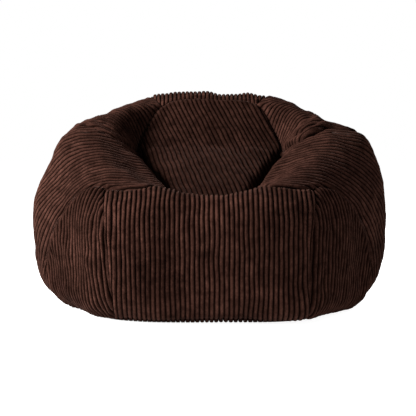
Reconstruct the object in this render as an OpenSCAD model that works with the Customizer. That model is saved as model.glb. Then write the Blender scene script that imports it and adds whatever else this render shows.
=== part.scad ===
// Bean bag chair in wide-wale cord cloth: sewn cover panels, a zip, an inner liner and loose beads.
// The front faces -Y, +X is to the right seen from the front, +Z is up.
// The origin is on the floor at the middle of the bag.

/* [Bag] */
// Width across the two side corners at the widest height
bag_w = 850; // [760:10:940]
// Depth from the front wall to the rear wall at the widest height
bag_d = 776; // [700:4:860]
// Height of the roll across the front
front_h = 281; // [260:1:300]
// Height of the arms at the side corners
arm_h = 424; // [400:1:440]
// Height of the backrest
back_h = 514; // [490:1:540]
// How far the arms swell out beside the backrest
arm_swell = 13; // [0:1:16]

/* [Seat] */
// Height of the seat seam level with the middle of the bag
seat_h = 338; // [325:1:345]
// Rise of the seat for each millimetre towards the back
seat_slope = 0.364; // [0.3:0.01:0.4]
// Extra rise of the backrest at its top seam
backrest_rise = 88; // [70:1:95]
// How far the seat panel swells above its seam
seat_swell = 14; // [0:1:18]

/* [Cloth] */
// Thickness of the cord cloth, over its ribs
cloth = 3.5; // [2.5:0.5:4]
// Half of the gap between two panels at a seam
seam_gap = 1.5; // [1:0.1:2]
// Thickness of the liner cloth
liner_cloth = 1.2; // [0.8:0.1:1.5]
// Depth of the liner below the outside of the cover
liner_depth = 16; // [15.5:0.5:17]
// Depth of the beads below the outside of the cover
bead_depth = 23; // [22.5:0.5:26]

/* [Zip] */
// Length of the zip's two rows of coil
zip_l = 300; // [200:10:300]
// Width of each tape
tape_w = 14; // [12:1:16]
// Height of the slot that shows the zip
slot_h = 18; // [17:1:22]
// Diameter of a row of coil
coil_d = 2.6; // [2:0.1:2.8]
// Length of the pull tab from its pin
pull_l = 30; // [20:1:34]

/* [Hidden] */

CORD = [0.17, 0.09, 0.075];
LINER = [0.86, 0.84, 0.80];
TAPE = [0.13, 0.08, 0.07];
METAL = [0.62, 0.62, 0.64];
BEADS = [0.95, 0.95, 0.93];

hw = bag_w / 2;
hd = bag_d / 2;

// The skin is drawn through rings, from the base seam up over the crest and down to the seat seam.
// Each ring is a hexagon with rounded corners: how far its front, front side, rear side and rear
// edges lie from the middle, as a share of the bag's half size; its height at the front, side and
// rear; and how sharp its corners are. KNOTS places the rings along the profile.
KNOTS = [0, 0.45, 1.9, 3.2, 4.5, 5.2, 6];
TOP = 6;
HEIGHTS = [front_h, arm_h, back_h];
BASE_Z = 3;
RINGS = [
    [[0.830, 0.758, 0.758, 0.830], [BASE_Z, BASE_Z, BASE_Z], 8],
    [[0.907, 0.826, 0.826, 0.907], [29, 29, 29], 12],
    [[1.000, 0.911, 0.911, 0.997], [0.569 * front_h, 0.441 * arm_h, 0.399 * back_h], 14],
    [[0.972, 0.866, 0.866, 0.907], [0.865 * front_h, 0.767 * arm_h, 0.768 * back_h], 14],
    [[0.838, 0.649, 0.668, 0.686], HEIGHTS, 8],
    [[0.709, 0.489, 0.565, 0.582], [0.954 * front_h, 0.962 * arm_h, 0.988 * back_h], 8]
];
SEAT_CORNERS = 12;

// Seams: azimuths in degrees from the right side corner, negative towards the front.
SHOULDER_AT_SEAT = 25;
SHOULDER_AT_CREST = 2;
SHOULDER_AT_SIDE = 10;
SHOULDER_SAG = 7;
BACK_SEAM = 58;
SIDE_FOOT = -3;
RIDGE_T = 3.75;
ZIP_T = 1.15;

// Half width of the front panel at its foot and at its upper corners.
front_foot = 0.485 * hw;
front_top = 0.548 * hw;

function mix(a, b, f) = a + (b - a) * f;
function total(v) = v * [for (i = v) 1];
function flat(rows) = [for (row = rows) each row];
function unit(v) = v / norm(v);
function steps(n) = [for (i = [0 : n]) i / n];
function reversed(v) = [for (i = [len(v) - 1 : -1 : 0]) v[i]];

// Distance from the middle to a rounded polygon whose edges are [direction, distance].
function polygon_r(edges, sharp, a) =
    pow(total([for (e = edges) pow(max(0, cos(a - e[0])) / e[1], sharp)]), -1 / sharp);

function hexagon(share) = [
    [-90, share[0] * hd], [-30, share[1] * hw], [30, share[2] * hw],
    [90, share[3] * hd], [150, share[2] * hw], [210, share[1] * hw]
];

seat_edges = [
    [90, 0.528 * hd], [28, 0.494 * hw], [-19, 0.355 * hw],
    [-90, 0.606 * hd], [199, 0.355 * hw], [152, 0.494 * hw]
];

// A value that is v[0] at the front, v[1] at the sides and v[2] at the rear.
function around(v, a) =
    v[1] + (v[2] - v[0]) / 2 * sin(a) + ((v[0] + v[2]) / 2 - v[1]) * pow(sin(a), 2);

// Height of the seat seam at a distance y behind the middle.
function seat_z(y) =
    seat_h + seat_slope * y + backrest_rise * pow(min(1, max(0, (y - 0.18 * hd) / (0.348 * hd))), 1.5);

function ring_rz(k, a) = [polygon_r(hexagon(RINGS[k][0]), RINGS[k][2], a), around(RINGS[k][1], a)];

function seam_rz(a) =
    let (r = polygon_r(seat_edges, SEAT_CORNERS, a))
    [r, seat_z(r * sin(a))];

function profile(a) = concat([for (k = [0 : len(RINGS) - 1]) ring_rz(k, a)], [seam_rz(a)]);

function chord(p, i) = (p[i + 1] - p[i]) / (KNOTS[i + 1] - KNOTS[i]);

function slope(p, i) =
    i == 0 ? chord(p, 0) :
    i == len(KNOTS) - 1 ? chord(p, i - 1) :
    let (before = KNOTS[i] - KNOTS[i - 1], after = KNOTS[i + 1] - KNOTS[i])
    (chord(p, i) * before + chord(p, i - 1) * after) / (before + after);

// A smooth curve through the profile's points p, at t.
function along(p, t) =
    let (
        i = min(len(KNOTS) - 2, max(0, len([for (k = KNOTS) if (k <= t) k]) - 1)),
        h = KNOTS[i + 1] - KNOTS[i],
        x = (t - KNOTS[i]) / h
    )
    (2 * x ^ 3 - 3 * x ^ 2 + 1) * p[i] + (x ^ 3 - 2 * x ^ 2 + x) * h * slope(p, i)
    + (3 * x ^ 2 - 2 * x ^ 3) * p[i + 1] + (x ^ 3 - x ^ 2) * h * slope(p, i + 1);

// The swelling of both arms just in front of the shoulder seams.
function swell(a, t) =
    let (off = abs(abs(a - 90) - 92) / 13)
    arm_swell * exp(-off ^ 2 - ((t - 3.8) / 0.6) ^ 2);

// The point of the skin at azimuth a and profile place t.
function skin(a, t) =
    let (rz = along(profile(a), t), r = rz[0] + swell(a, t))
    [r * cos(a), r * sin(a), rz[1] + swell(a, t) / 2];

function outward(a, t) =
    let (t0 = max(0, t - 0.03), t1 = min(TOP, t + 0.03))
    unit(cross(skin(a + 1, t) - skin(a - 1, t), skin(a, t1) - skin(a, t0)));

function inside(a, t, depth) = skin(a, t) - depth * outward(a, t);

// The azimuth where a wall stands at x, found by repeated correction. face is -90 or 90.
function azimuth_at(x, t, face, a, n = 6) =
    n == 0 ? a :
    let (p = skin(a, t), r = norm([p[0], p[1]]))
    azimuth_at(x, t, face, face - sign(face) * asin(x / r), n - 1);

function front_half(t) = mix(front_foot, front_top, min(1, t / RIDGE_T));
function front_azimuth(side, t) = azimuth_at(side * front_half(t), t, -90, -90 + side * 35);

corner_a = front_azimuth(1, RIDGE_T);

// The seam below the arm panel, as [azimuth, place on the profile]: along the front roll from the
// seat's front corner to the front panel's upper corner, then down the wall to the side foot.
ARM_SEAM = [
    [-90, TOP], [-71, TOP], [-66, 4.35], [-60, 4.0], [corner_a, RIDGE_T], [-46, 3.62], [-40, 3.35],
    [-33, 2.8], [-25, 2.15], [-15, 1.25], [SIDE_FOOT, 0]
];
function arm_seam(a) = lookup(a, ARM_SEAM);

// The azimuth of the seam between arm and shoulder.
function shoulder_seam(t) = let (
        inward = pow(max(0, t - KNOTS[4]) / (TOP - KNOTS[4]), 5),
        down = min(1, max(0, (4.3 - t) / 1.3)),
        sag = cos(90 * min(1, abs(t - 5.25) / 0.85))
    )
    SHOULDER_AT_CREST + inward * (SHOULDER_AT_SEAT - SHOULDER_AT_CREST)
    + down * down * (3 - 2 * down) * (SHOULDER_AT_SIDE - SHOULDER_AT_CREST)
    - SHOULDER_SAG * sag * sag;

// The front panel's top edge, for a column at share u of its half width.
function front_top_t(u, t = 4.5, n = 14) =
    n == 0 ? t :
    let (a = azimuth_at(abs(u) * front_half(t), t, -90, -70))
    front_top_t(u, mix(t, arm_seam(a), 0.4), n - 1);

// The front corner panel's top edge, for a column at share w of the way to the side foot.
function corner_top_t(w, t = 3, n = 10) =
    n == 0 ? t :
    corner_top_t(w, mix(t, arm_seam(mix(front_azimuth(1, t), SIDE_FOOT - 2, w)), 0.6), n - 1);

// Where the rows of a panel's grid lie, as shares of its height: closer over the crest.
ROWS = [0, 0.05, 0.1, 0.2, 0.32, 0.45, 0.55, 0.63, 0.69, 0.75, 0.81, 0.87, 0.94, 1];
GAP_T = seam_gap / 90;
GAP_A = seam_gap / 6;
function mirrored(a, side) = side > 0 ? a : 180 - a;

// One closed solid between two equal grids of points, the outer and the inner face of a cloth panel.
module between_grids(outer, inner) {
    rows = len(outer);
    cols = len(outer[0]);
    n = rows * cols;
    points = concat(flat(outer), flat(inner));
    function at(i, j) = i * cols + j;
    function pair(a, b, c, d) =
        norm(points[a] - points[c]) <= norm(points[b] - points[d])
        ? [[a, b, c], [a, c, d]]
        : [[a, b, d], [b, c, d]];
    faces = concat(
        [for (i = [0 : rows - 2], j = [0 : cols - 2])
            each pair(at(i, j), at(i + 1, j), at(i + 1, j + 1), at(i, j + 1))],
        [for (i = [0 : rows - 2], j = [0 : cols - 2])
            each pair(n + at(i, j), n + at(i, j + 1), n + at(i + 1, j + 1), n + at(i + 1, j))],
        [for (i = [0 : rows - 2]) each concat(
            pair(at(i, 0), n + at(i, 0), n + at(i + 1, 0), at(i + 1, 0)),
            pair(at(i, cols - 1), at(i + 1, cols - 1), n + at(i + 1, cols - 1), n + at(i, cols - 1)))],
        [for (j = [0 : cols - 2]) each concat(
            pair(at(0, j), at(0, j + 1), n + at(0, j + 1), n + at(0, j)),
            pair(at(rows - 1, j), n + at(rows - 1, j), n + at(rows - 1, j + 1), at(rows - 1, j + 1)))]
    );
    polyhedron(points = points, faces = faces, convexity = 6);
}

// A cloth panel over a grid of [azimuth, t] places, from one depth to a greater one. turned is true
// where the grid's azimuths run down, which would turn the solid inside out.
module panel(grid, near = 0, far = cloth, turned = false) {
    upper = [for (row = grid) [for (g = row) inside(g[0], g[1], near)]];
    lower = [for (row = grid) [for (g = row) inside(g[0], g[1], far)]];
    if (turned)
        between_grids(lower, upper);
    else
        between_grids(upper, lower);
}

// A closed solid lofted through rows of points, with one point at each end. The rows run from the
// floor up and outside in, and a loft whose rows run the other way is turned.
module loft(start, rows, end, turned = false) {
    cols = len(rows[0]);
    last = len(rows) - 1;
    top = 1 + cols * len(rows);
    function at(i, j) = 1 + i * cols + j % cols;
    upright = concat(
        [for (j = [0 : cols - 1]) [0, at(0, j), at(0, j + 1)]],
        [for (i = [0 : last - 1], j = [0 : cols - 1])
            each [[at(i, j), at(i + 1, j), at(i + 1, j + 1)], [at(i, j), at(i + 1, j + 1), at(i, j + 1)]]],
        [for (j = [0 : cols - 1]) [top, at(last, j + 1), at(last, j)]]
    );
    faces = turned ? [for (f = upright) reversed(f)] : upright;
    polyhedron(points = concat([start], flat(rows), [end]), faces = faces, convexity = 6);
}

// The seat panel's skin, at azimuth a and share f of the way from its middle to its seam.
function seat_skin(a, f) =
    let (r = f * seam_rz(a)[0], y = r * sin(a))
    [r * cos(a), y, seat_z(y) + seat_swell * (1 - f ^ 3)];
SEAT_LEAN = unit([0, -0.5, 1]);
function seat_inside(a, f, depth) = seat_skin(a, f) - depth * SEAT_LEAN;

INNER_AROUND = [for (i = [0 : 47]) 7.5 * i];
INNER_CREST = [3.2, 3.7, 4.1, 4.5, 4.9, 5.3, 5.7];
function wall_ring(t, depth) = [for (a = INNER_AROUND) inside(a, t, depth)];
function seat_ring(f, depth) = [for (a = INNER_AROUND) seat_inside(a, f, depth)];

// The inner pieces' rows from the first wall ring, over the crest and under the seat seam.
function inner_rows(walls, depth) = concat(
    [for (t = walls) wall_ring(t, depth)],
    [[for (a = INNER_AROUND) skin(a, TOP) - [0, 0, 1.4 * depth]]],
    [seat_ring(0.8, depth), seat_ring(0.5, depth)]
);

// ---- cover ----

module front_panel() {
    trim = 1 - seam_gap / front_top;
    half = [0.14, 0.26, 0.31, 0.34, 0.37, 0.41, 0.45, 0.51, 0.6, 0.72, 0.86, 1];
    cols = trim * concat(-reversed(half), [0], half);
    tops = [for (u = cols) front_top_t(u) - GAP_T];
    grid = [for (v = ROWS) [for (j = [0 : len(cols) - 1])
        let (t = mix(GAP_T, tops[j], v))
        [azimuth_at(cols[j] * front_half(t), t, -90, -90 + 35 * cols[j]), t]
    ]];
    color(CORD) panel(grid);
}

module front_corner_panel(side) {
    cols = concat([0, 0.05], [for (i = [1 : 10]) i / 10]);
    tops = [for (w = cols) corner_top_t(w) - GAP_T];
    grid = [for (v = steps(9)) [for (j = [0 : len(cols) - 1])
        let (
            t = mix(GAP_T, tops[j], v),
            a = mix(front_azimuth(1, t) + GAP_A, SIDE_FOOT - 2, cols[j])
        )
        [mirrored(a, side), t]
    ]];
    color(CORD) panel(grid, turned = side < 0);
}

// The arm's front end lies between the front panel and the seat's front corner. Towards the
// shoulder, its columns spread to meet the seam.
ARM_FRONT = -69;
ARM_SPREAD = -20;

module arm_panel(side) {
    grid = [for (v = ROWS) [for (w = steps(16))
        let (
            even = mix(ARM_FRONT, SHOULDER_AT_CREST, w),
            t = mix(arm_seam(even) + GAP_T, TOP - GAP_T, v),
            spread = max(0, even - ARM_SPREAD) / (SHOULDER_AT_CREST - ARM_SPREAD),
            a = even + spread * (shoulder_seam(t) - SHOULDER_AT_CREST)
        )
        [mirrored(a - w * GAP_A, side), t]
    ]];
    color(CORD) panel(grid, turned = side < 0);
}

module shoulder_panel(side) {
    grid = [for (v = ROWS) [for (w = steps(8))
        let (t = mix(GAP_T, TOP - GAP_T, v))
        [mirrored(mix(shoulder_seam(t) + GAP_A, BACK_SEAM - GAP_A, w), side), t]
    ]];
    color(CORD) panel(grid, turned = side < 0);
}

// Half the height of the opening between back panel and skirt, as a length of profile: the slot
// where the zip is, and a sewn seam beyond it.
function slot_t(a) = abs(cos(a)) * hd < zip_l / 2 + 6 ? slot_h / 2 / 124 : GAP_T;
BACK_COLS = [for (w = steps(14)) mix(BACK_SEAM + GAP_A, 180 - BACK_SEAM - GAP_A, w)];

module back_panel() {
    upper = [0, 0.15, 0.32, 0.46, 0.56, 0.63, 0.69, 0.75, 0.81, 0.87, 0.94, 1];
    grid = [for (v = upper) [for (a = BACK_COLS) [a, mix(ZIP_T + slot_t(a), TOP - GAP_T, v)]]];
    color(CORD) panel(grid);
}

module back_skirt() {
    grid = [for (v = steps(3)) [for (a = BACK_COLS) [a, mix(GAP_T, ZIP_T - slot_t(a), v)]]];
    color(CORD) panel(grid);
}

module seat_panel() {
    trim = 1 - 2 * seam_gap / (0.355 * hw);
    around = [for (i = [0 : 39]) 9 * i];
    shares = trim * [0.35, 0.6, 0.8, 1];
    function face(depth) = [for (f = shares) [for (a = around) seat_inside(a, f, depth)]];
    rows = concat(face(0), reversed(face(cloth)));
    color(CORD) loft(seat_inside(0, 0, 0), rows, seat_inside(0, 0, cloth), turned = true);
}

module base_panel() {
    edge = [for (i = [0 : 47])
        let (a = 7.5 * i, r = ring_rz(0, a)[0] - 2 * seam_gap)
        [r * cos(a), r * sin(a)]
    ];
    color(CORD) linear_extrude(cloth) polygon(edge);
}

module care_label() {
    grid = [for (v = steps(3)) [for (w = steps(2)) [mix(58.5, 63, w), mix(1.25, 1.62, v)]]];
    color(LINER) panel(grid, near = -2.6, far = -2);
}

// ---- zip, in its own axes: x along the zip, y out of the bag, z up the wall ----

zip_c = skin(90, ZIP_T);
zip_tilt = let (d = skin(90, ZIP_T + 0.05) - skin(90, ZIP_T - 0.05)) atan2(d[1], d[2]);
tape_y = -10;
tape_t = 1;
coil_gap = 1.2;
coil_y = tape_y + tape_t + coil_d / 2 + 0.05;
coil_z = coil_gap / 2 + coil_d / 2;
slider_x = zip_l / 2 - 12;
SLIDER_L = 13;
SLIDER_W = 8.4;
PLATE = 1.2;
plate_y = coil_y + coil_d / 2 + 0.35;
PIN_R = 0.8;
pin_y = plate_y + PLATE + 1.5;
PULL_W = 7;
PULL_T = 1.4;

module at_zip() {
    translate(zip_c) rotate([-zip_tilt, 0, 0]) children();
}

module block(x, y, z) {
    translate([x[0], y[0], z[0]]) cube([x[1] - x[0], y[1] - y[0], z[1] - z[0]]);
}

module tape(side) {
    half = zip_l / 2 + 14;
    inner = coil_gap / 2;
    at_zip() color(TAPE) mirror([0, 0, side < 0 ? 1 : 0])
        block([-half, half], [tape_y, tape_y + tape_t], [inner, inner + tape_w]);
}

module coil(side) {
    at_zip() color(TAPE) translate([-zip_l / 2, coil_y, side * coil_z])
        rotate([0, 90, 0]) cylinder(d = coil_d, h = zip_l, $fn = 24);
}

module zip_end_stops() {
    at_zip() color(METAL) for (end = [-1, 1]) {
        x = end * (zip_l / 2 + 2.3);
        block([x - 1.5, x + 1.5], [tape_y + tape_t + 0.05, tape_y + tape_t + 3], [-3.4, 3.4]);
    }
}

module zip_guard() {
    half = zip_l / 2 + 12;
    at_zip() color(LINER) block([-half, half], [tape_y - 2, tape_y - 1.3], [-16, 16]);
}

module zip_slider() {
    half = SLIDER_L / 2;
    wide = SLIDER_W / 2;
    bridge_y = pin_y + PIN_R + 0.5;
    at_zip() translate([slider_x, 0, 0]) color(METAL) {
        block([-half, half], [plate_y, plate_y + PLATE], [-wide, wide]);
        block([-half, half], [tape_y - 1.0, tape_y - 0.2], [-wide, wide]);
        block([half - 5, half - 1], [tape_y - 1.0, plate_y + PLATE], [-0.4, 0.4]);
        for (x = [-4.6, 3.4])
            block([x, x + 1.2], [plate_y, bridge_y + 1], [-1, 1]);
        block([-4.6, 4.6], [bridge_y, bridge_y + 1], [-1, 1]);
    }
}

module zip_pull() {
    rail = 1.5;
    at_zip() translate([slider_x, pin_y, 0]) color(METAL) {
        translate([0, 0, -PULL_W / 2]) cylinder(r = PIN_R, h = PULL_W, $fn = 24);
        for (z = [-PULL_W / 2, PULL_W / 2 - rail])
            block([-9, 0], [-PULL_T / 2, PULL_T / 2], [z, z + rail]);
        block([-pull_l, -7.5], [-PULL_T / 2, PULL_T / 2], [-PULL_W / 2, PULL_W / 2]);
    }
}

// ---- inside ----

LINER_SPLIT = 2.2;

function lowest(row) = min([for (p = row) p[2]]);

module liner_lower() {
    function face(depth) = [for (t = [0, 0.3, 0.9, 1.6, LINER_SPLIT - 0.015]) wall_ring(t, depth)];
    outer = face(liner_depth);
    inner = face(liner_depth + liner_cloth);
    color(LINER) loft([0, 0, lowest(outer[0])], concat(outer, reversed(inner)), [0, 0, lowest(inner[0])]);
}

module liner_upper() {
    walls = concat([LINER_SPLIT + 0.015, 2.7], INNER_CREST);
    deep = liner_depth + liner_cloth;
    rows = concat(reversed(inner_rows(walls, deep)), inner_rows(walls, liner_depth));
    color(LINER) loft(seat_inside(0, 0, deep), rows, seat_inside(0, 0, liner_depth));
}

module liner_strip(near) {
    half = 0.1;
    grid = [for (v = [-half, half]) [for (w = steps(6)) [mix(76, 104, w), LINER_SPLIT + v]]];
    color(TAPE) panel(grid, near = near, far = near + 0.9);
}

module bead_filling() {
    rows = inner_rows(concat([0, 0.3, 0.9, 1.6, 2.3], INNER_CREST), bead_depth);
    color(BEADS) loft([0, 0, lowest(rows[0])], rows, seat_inside(0, 0, bead_depth));
}

front_panel();
front_corner_panel(-1);  // front_left_panel
front_corner_panel(1);  // front_right_panel
arm_panel(-1);  // left_arm_panel
arm_panel(1);  // right_arm_panel
shoulder_panel(-1);  // left_shoulder_panel
shoulder_panel(1);  // right_shoulder_panel
back_panel();
back_skirt();
seat_panel();
base_panel();
care_label();
tape(1);  // zip_upper_tape
tape(-1);  // zip_lower_tape
coil(1);  // zip_upper_coil
coil(-1);  // zip_lower_coil
zip_end_stops();
zip_guard();
zip_slider();
zip_pull();
liner_upper();
liner_lower();
liner_strip(liner_depth + 2.2);  // liner_hook_tape
liner_strip(liner_depth + 3.4);  // liner_loop_tape
bead_filling();
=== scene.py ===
import math

import bmesh
import bpy
import numpy as np
from mathutils.kdtree import KDTree
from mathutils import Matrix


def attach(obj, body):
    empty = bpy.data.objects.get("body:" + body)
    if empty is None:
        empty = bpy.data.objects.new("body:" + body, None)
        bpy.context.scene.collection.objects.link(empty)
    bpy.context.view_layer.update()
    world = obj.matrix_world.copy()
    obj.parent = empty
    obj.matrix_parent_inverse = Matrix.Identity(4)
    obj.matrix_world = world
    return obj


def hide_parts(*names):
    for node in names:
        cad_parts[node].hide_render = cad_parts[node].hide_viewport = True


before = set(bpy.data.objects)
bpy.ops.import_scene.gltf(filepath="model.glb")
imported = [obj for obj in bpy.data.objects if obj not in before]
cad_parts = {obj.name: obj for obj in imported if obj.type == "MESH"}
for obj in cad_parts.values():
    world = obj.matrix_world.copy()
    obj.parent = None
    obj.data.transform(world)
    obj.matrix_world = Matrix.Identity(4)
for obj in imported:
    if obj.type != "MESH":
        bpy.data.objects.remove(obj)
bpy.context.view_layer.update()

# ---- the bag's shape: the same skin as the CAD part, in metres ----
# A point of the skin is named by its azimuth, in degrees from the right side corner and negative
# towards the front, and by t, its place on the profile from the base seam (0) over the crest (4.5)
# to the seat seam (6).

HALF_W = 0.425
HALF_D = 0.388
HEIGHTS = (0.281, 0.424, 0.514)  # front roll, arms, backrest
ARM_SWELL = 0.013
BASE_Z = 0.003
KNOTS = np.array([0, 0.45, 1.9, 3.2, 4.5, 5.2, 6.0])
TOP = 6.0
# Each ring: shares of the half size at its front, front side, rear side and rear edges; its height
# at the front, side and rear; the sharpness of its corners.
RINGS = (
    ((0.830, 0.758, 0.758, 0.830), (BASE_Z, BASE_Z, BASE_Z), 8),
    ((0.907, 0.826, 0.826, 0.907), (0.029, 0.029, 0.029), 12),
    ((1.000, 0.911, 0.911, 0.997), tuple(np.multiply((0.569, 0.441, 0.399), HEIGHTS)), 14),
    ((0.972, 0.866, 0.866, 0.907), tuple(np.multiply((0.865, 0.767, 0.768), HEIGHTS)), 14),
    ((0.838, 0.649, 0.668, 0.686), HEIGHTS, 8),
    ((0.709, 0.489, 0.565, 0.582), tuple(np.multiply((0.954, 0.962, 0.988), HEIGHTS)), 8),
)
SEAT_EDGES = (
    (90, 0.528 * HALF_D), (28, 0.494 * HALF_W), (-19, 0.355 * HALF_W),
    (-90, 0.606 * HALF_D), (199, 0.355 * HALF_W), (152, 0.494 * HALF_W),
)
SEAT_H = 0.338
SEAT_SLOPE = 0.364
BACKREST_RISE = 0.088
SEAT_SWELL = 0.014

CREST_T = 4.5
# The seam between arm and shoulder, as azimuths: at the seat, over the crest, and down the side
# from SIDE_T, reached within SIDE_SPAN. Inside the crest it sags forward, the most at SAG_T.
SHOULDER_AT_SEAT = 25
SHOULDER_AT_CREST = 2
SHOULDER_AT_SIDE = 10
SHOULDER_SAG = 7
SIDE_T, SIDE_SPAN = 4.3, 1.3
SAG_T, SAG_SPAN = 5.25, 0.85
BACK_SEAM = 58
SIDE_FOOT = -3
RIDGE_T = 3.75
ZIP_T = 1.15
BASE_T = 0.12  # the base panel turns up this far around the foot of the walls
SLOT_HALF_L = 0.156
SLOT_HALF_T = 9 / 124
FRONT_FOOT = 0.485 * HALF_W
FRONT_TOP = 0.548 * HALF_W
CORNER_A = -53.0
ARM_SEAM = np.array([
    (-90, TOP), (-71, TOP), (-66, 4.35), (-60, 4.0), (CORNER_A, RIDGE_T), (-46, 3.62), (-40, 3.35),
    (-33, 2.8), (-25, 2.15), (-15, 1.25), (SIDE_FOOT, 0), (180, -1),
])


def polygon_r(edges, sharp, a):
    """Distance from the middle to a rounded polygon whose edges are (direction, distance)."""
    total = sum((np.maximum(0, np.cos(np.radians(a - e))) / d) ** sharp for e, d in edges)
    return total ** (-1 / sharp)


def unit(v):
    return v / np.linalg.norm(v, axis=-1)[..., None]


def hexagon(share):
    front, front_side, rear_side, rear = share
    return (
        (-90, front * HALF_D), (-30, front_side * HALF_W), (30, rear_side * HALF_W),
        (90, rear * HALF_D), (150, rear_side * HALF_W), (210, front_side * HALF_W),
    )


def around(values, a):
    """A value that is values[0] at the front, values[1] at the sides and values[2] at the rear."""
    front, side, rear = values
    s = np.sin(np.radians(a))
    return side + (rear - front) / 2 * s + ((front + rear) / 2 - side) * s ** 2


def seat_z(y):
    lean = np.clip((y - 0.18 * HALF_D) / (0.348 * HALF_D), 0, 1)
    return SEAT_H + SEAT_SLOPE * y + BACKREST_RISE * lean ** 1.5


def profile(a):
    """Radius and height of the seven rings at azimuth a."""
    rings = [(polygon_r(hexagon(share), sharp, a), around(z, a)) for share, z, sharp in RINGS]
    seam = polygon_r(SEAT_EDGES, 12, a)
    rings.append((seam, seat_z(seam * np.sin(np.radians(a)))))
    return np.array([[r, z + 0 * r] for r, z in rings])


def skin(a, t):
    """Points of the skin, with azimuths and profile places of one shape."""
    a, t = np.broadcast_arrays(np.asarray(a, float), np.asarray(t, float))
    p = profile(a)
    gap = np.diff(KNOTS).reshape((-1,) + (1,) * (p.ndim - 1))
    chord = np.diff(p, axis=0) / gap
    inner = (chord[1:] * gap[:-1] + chord[:-1] * gap[1:]) / (gap[1:] + gap[:-1])
    slope = np.concatenate([chord[:1], inner, chord[-1:]])
    rz = np.zeros((2,) + a.shape)
    for i in range(len(KNOTS) - 1):
        h = KNOTS[i + 1] - KNOTS[i]
        x = np.clip((t - KNOTS[i]) / h, 0, 1)
        part = (
            (2 * x ** 3 - 3 * x ** 2 + 1) * p[i] + (x ** 3 - 2 * x ** 2 + x) * h * slope[i]
            + (3 * x ** 2 - 2 * x ** 3) * p[i + 1] + (x ** 3 - x ** 2) * h * slope[i + 1]
        )
        rz = np.where((t >= KNOTS[i]) & ((t < KNOTS[i + 1]) | (i == len(KNOTS) - 2)), part, rz)
    off = np.abs(np.abs(a - 90) - 92) / 13
    swell = ARM_SWELL * np.exp(-off ** 2 - ((t - 3.8) / 0.6) ** 2)
    r = rz[0] + swell
    return np.stack([r * np.cos(np.radians(a)), r * np.sin(np.radians(a)), rz[1] + swell / 2], -1)


def front_half(t):
    return FRONT_FOOT + (FRONT_TOP - FRONT_FOOT) * np.minimum(1, t / RIDGE_T)


def arm_seam(a):
    return np.interp(a, ARM_SEAM[:, 0], ARM_SEAM[:, 1])


def shoulder_seam(t):
    """The azimuth of the seam between arm and shoulder."""
    inward = (np.maximum(0, t - CREST_T) / (TOP - CREST_T)) ** 5
    down = np.clip((SIDE_T - t) / SIDE_SPAN, 0, 1)
    sag = np.cos(math.pi / 2 * np.minimum(1, np.abs(t - SAG_T) / SAG_SPAN))
    return (
        SHOULDER_AT_CREST + inward * (SHOULDER_AT_SEAT - SHOULDER_AT_CREST)
        + down ** 2 * (3 - 2 * down) * (SHOULDER_AT_SIDE - SHOULDER_AT_CREST)
        - SHOULDER_SAG * sag ** 2
    )


def seat_point(x, y):
    """A point of the seat panel over the plan place x, y, and its share of the way to the seam."""
    share = np.hypot(x, y) / polygon_r(SEAT_EDGES, 12, np.degrees(np.arctan2(y, x)))
    swell = SEAT_SWELL * (1 - np.minimum(share, 1.05) ** 3)
    return np.stack([x, y, seat_z(y) + swell], -1), share


# ---- folds, creases and slack ----

def waves(p, length, seed, count=24):
    """Smooth random values of about -1 to 1 at points p, varying over the given length."""
    local = np.random.default_rng(seed)
    direction = unit(local.normal(size=(count, 3)))
    k = direction * (2 * np.pi / length) * local.uniform(0.6, 1.5, count)[:, None]
    phase = local.uniform(0, 2 * np.pi, count)
    return np.sin(p @ k.T + phase).sum(-1) / math.sqrt(count)


def from_path(p, path):
    """Distance of points p from a path of points."""
    best = np.full(p.shape[:-1], np.inf)
    for a, b in zip(path[:-1], path[1:]):
        along = b - a
        f = np.clip((p - a) @ along / max(along @ along, 1e-12), 0, 1)
        best = np.minimum(best, np.linalg.norm(p - a - f[..., None] * along, axis=-1))
    return best


def fold(places, height, width, side=0):
    """A ridge (or a crease, if height is below 0) along places (azimuth, t) of the skin. side is 1
    for the right half of the bag, -1 for the left and 0 for both."""
    places = np.array(places, float)
    a = np.interp(np.linspace(0, 1, 14), np.linspace(0, 1, len(places)), places[:, 0])
    t = np.interp(np.linspace(0, 1, 14), np.linspace(0, 1, len(places)), places[:, 1])
    return skin(a, t), height, width, side


def seam_fold(t0, t1, turn, height, width, side):
    t = np.linspace(t0, t1, 8)
    return fold(np.stack([shoulder_seam(t) + turn, t], -1), height, width, side)


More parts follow.
